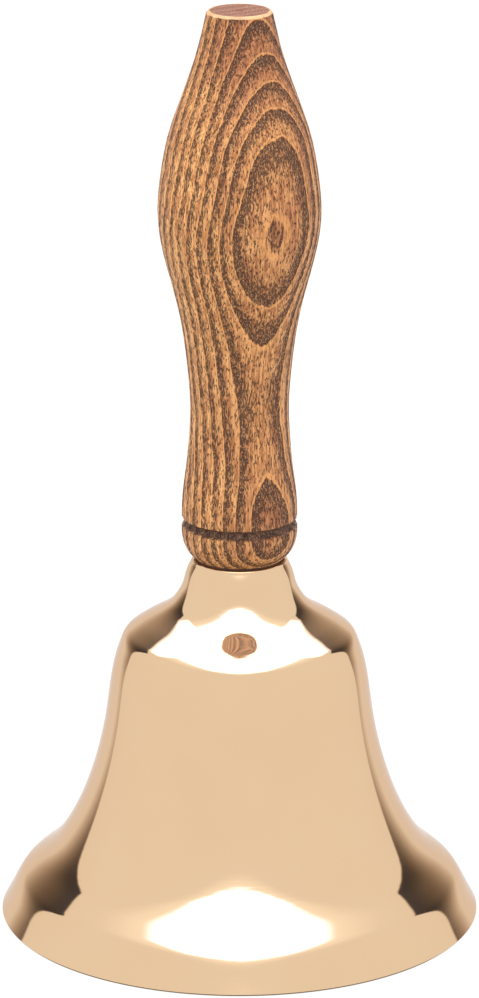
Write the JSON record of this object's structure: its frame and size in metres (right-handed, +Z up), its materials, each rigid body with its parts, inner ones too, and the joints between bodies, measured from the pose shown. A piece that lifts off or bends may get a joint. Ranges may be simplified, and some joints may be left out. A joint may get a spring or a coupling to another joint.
{
  "type": "service bell",
  "caption": "Polished brass hand bell with a turned ash handle and a free-swinging ball clapper on a swivelling yoke.",
  "frame": {"origin": "centre of the mouth's rim plane, on which the bell stands", "axes": "+Z up through the crown and the handle; +Y along the clapper's pin at rest, so the clapper swings towards +X and -X at rest"},
  "size_m": [0.09, 0.09, 0.1733],
  "materials": {
    "polished_brass": "mirror polished",
    "turned_brass": "turned, bright",
    "ash_wood": "stained and waxed, open grain",
    "plated_steel": "zinc plated",
    "leather": "plain"
  },
  "bodies": {
    "bell_body": {"handle": "ash_wood", "handle_insert": "turned_brass", "foot_washer": "leather", "bell_shell": "polished_brass", "flat_washer": "plated_steel", "spring_washer": "plated_steel", "clamp_nut": "plated_steel", "hanger_bolt": "plated_steel"},
    "yoke": {"yoke": "plated_steel", "yoke_pin": "plated_steel", "pin_clip": "plated_steel", "hub_washers": "plated_steel"},
    "clapper": {"clapper_rod": "plated_steel", "clapper_lock_nut": "plated_steel", "clapper_ball": "turned_brass"}
  },
  "joints": [
    {"name": "yoke_swivel", "type": "hinge", "parent": "bell_body", "child": "yoke", "pos_m": [0, 0, 0.0607], "axis": [0, 0, 1], "continuous": true},
    {"name": "clapper_swing", "type": "hinge", "parent": "yoke", "child": "clapper", "pos_m": [0, 0, 0.0525], "axis": [0, 1, 0], "range_deg": [-30.4, 30.4]}
  ]
}
